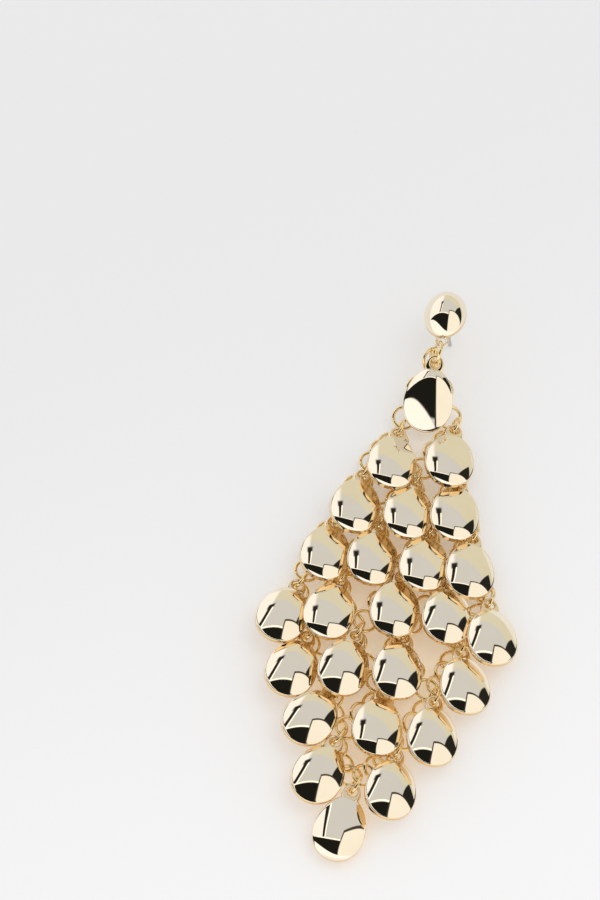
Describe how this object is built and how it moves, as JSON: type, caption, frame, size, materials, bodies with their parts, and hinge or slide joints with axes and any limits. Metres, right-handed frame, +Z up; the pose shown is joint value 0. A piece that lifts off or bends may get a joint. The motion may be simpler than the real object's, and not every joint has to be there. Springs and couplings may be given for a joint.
{
  "type": "chandelier earring",
  "caption": "Statement chandelier earring: an oval domed stud on a post above a diamond-shaped net of jump rings hung with polished oval drops, lying face up.",
  "frame": {"origin": "middle of the bounding box, on the surface it lies on", "axes": "+Z up from the surface, +Y along the earring from the lowest drop to the stud, +X across the rows"},
  "size_m": [0.052, 0.1262, 0.0142],
  "materials": {
    "polished_gold": "mirror-polished pale gold plate",
    "ring_gold": "bright gold-plated round wire"
  },
  "bodies": {
    "root": {"stud": "polished_gold", "drop_0_0": "polished_gold", "links_0_0": "ring_gold", "drop_1_0": "polished_gold", "links_1_0": "ring_gold", "drop_1_1": "polished_gold", "links_1_1": "ring_gold", "drop_2_0": "polished_gold", "links_2_0": "ring_gold", "drop_2_1": "polished_gold", "links_2_1": "ring_gold", "drop_2_2": "polished_gold", "links_2_2": "ring_gold", "drop_3_0": "polished_gold", "links_3_0": "ring_gold", "drop_3_1": "polished_gold", "links_3_1": "ring_gold", "drop_3_2": "polished_gold", "links_3_2": "ring_gold", "drop_3_3": "polished_gold", "links_3_3": "ring_gold", "drop_4_0": "polished_gold", "links_4_0": "ring_gold", "drop_4_1": "polished_gold", "links_4_1": "ring_gold", "drop_4_2": "polished_gold", "links_4_2": "ring_gold", "drop_4_3": "polished_gold", "links_4_3": "ring_gold", "drop_4_4": "polished_gold", "links_4_4": "ring_gold", "drop_5_0": "polished_gold", "links_5_0": "ring_gold", "drop_5_1": "polished_gold", "links_5_1": "ring_gold", "drop_5_2": "polished_gold", "links_5_2": "ring_gold", "drop_5_3": "polished_gold", "links_5_3": "ring_gold", "drop_6_0": "polished_gold", "links_6_0": "ring_gold", "drop_6_1": "polished_gold", "links_6_1": "ring_gold", "drop_6_2": "polished_gold", "links_6_2": "ring_gold", "drop_7_0": "polished_gold", "links_7_0": "ring_gold", "drop_7_1": "polished_gold", "links_7_1": "ring_gold", "drop_8_0": "polished_gold", "links_8_0": "ring_gold"}
  },
  "joints": []
}
